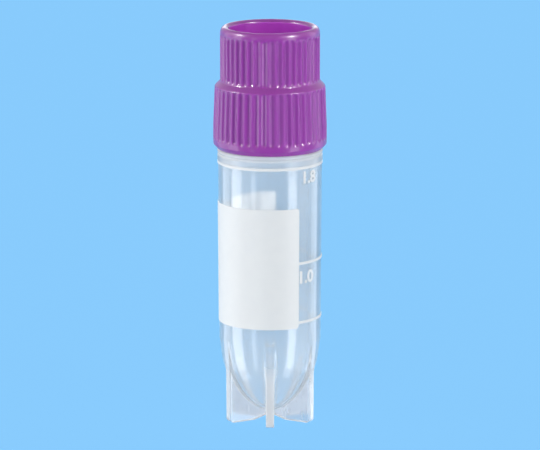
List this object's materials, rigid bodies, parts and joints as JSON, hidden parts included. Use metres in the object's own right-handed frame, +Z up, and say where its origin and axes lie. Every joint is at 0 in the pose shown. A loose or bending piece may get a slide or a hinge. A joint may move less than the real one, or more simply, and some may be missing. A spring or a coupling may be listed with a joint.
{
  "type": "cryovial",
  "caption": "Screw-cap cryogenic storage vial with a translucent graduated tube, a white writing patch, a ribbed purple cap and a star foot that stands by itself.",
  "frame": {"origin": "centre of the star foot, on the surface that the vial stands on", "axes": "+Z up along the tube's axis; -Y is the front, where the writing patch faces; +X is the front's right"},
  "size_m": [0.0136, 0.0136, 0.0479],
  "materials": {
    "tube_plastic": "translucent natural polypropylene, smooth moulded surface with a slight haze",
    "cap_plastic": "opaque purple polyethylene, smooth moulded surface with a soft gloss",
    "silicone": "soft translucent white silicone, satin",
    "white_ink": "matt white screen-printed ink that takes a pen"
  },
  "bodies": {
    "tube": {"vial_tube": "tube_plastic", "writing_patch": "white_ink", "graduation_marks": "white_ink"},
    "seal": {"sealing_ring": "silicone"},
    "cap": {"screw_cap": "cap_plastic"}
  },
  "joints": [
    {"name": "cap_rise", "type": "slide", "parent": "tube", "child": "seal", "axis": [0, 0, 1], "range_m": [0, 0.009]},
    {"name": "cap_turn", "type": "hinge", "parent": "seal", "child": "cap", "pos_m": [0, 0, 0.0375], "axis": [0, 0, 1], "range_deg": [0, 1080]}
  ],
  "couplings": [
    {"joint": "cap_turn", "follows": "cap_rise", "rad_per_m": 2094.4}
  ]
}
